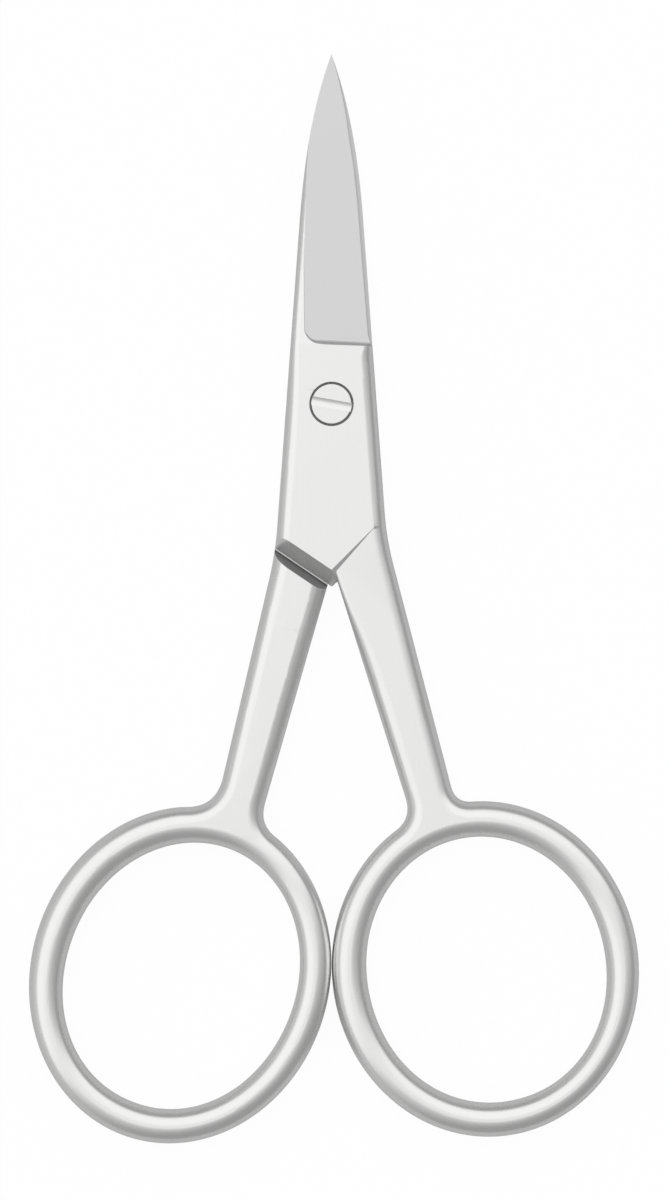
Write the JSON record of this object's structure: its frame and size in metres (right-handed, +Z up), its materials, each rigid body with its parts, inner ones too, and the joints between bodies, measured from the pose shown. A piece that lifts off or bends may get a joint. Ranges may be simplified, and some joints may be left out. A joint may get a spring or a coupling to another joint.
{
  "type": "nose hair scissors",
  "caption": "Small straight grooming scissors with fine pointed blades, a slotted pivot screw and round finger rings.",
  "frame": {"origin": "on the pivot's axis, at the flat underside of the rear half, where the screw's end lies flush", "axes": "+Y to the blade tips, +Z up and out of the face that the screw's head is in, +X to the front half's finger ring"},
  "size_m": [0.0504, 0.0901, 0.0035],
  "materials": {
    "front_steel": "satin stainless steel, matte ground blade",
    "rear_steel": "satin stainless steel, matte ground blade",
    "screw_steel": "fine satin stainless steel"
  },
  "bodies": {
    "rear": {"rear_half": "rear_steel", "pivot_screw": "screw_steel"},
    "front": {"front_half": "front_steel"}
  },
  "joints": [
    {"name": "pivot", "type": "hinge", "parent": "rear", "child": "front", "pos_m": [0, 0, 0.0026], "axis": [0, 0, 1], "range_deg": [0, 145]}
  ]
}
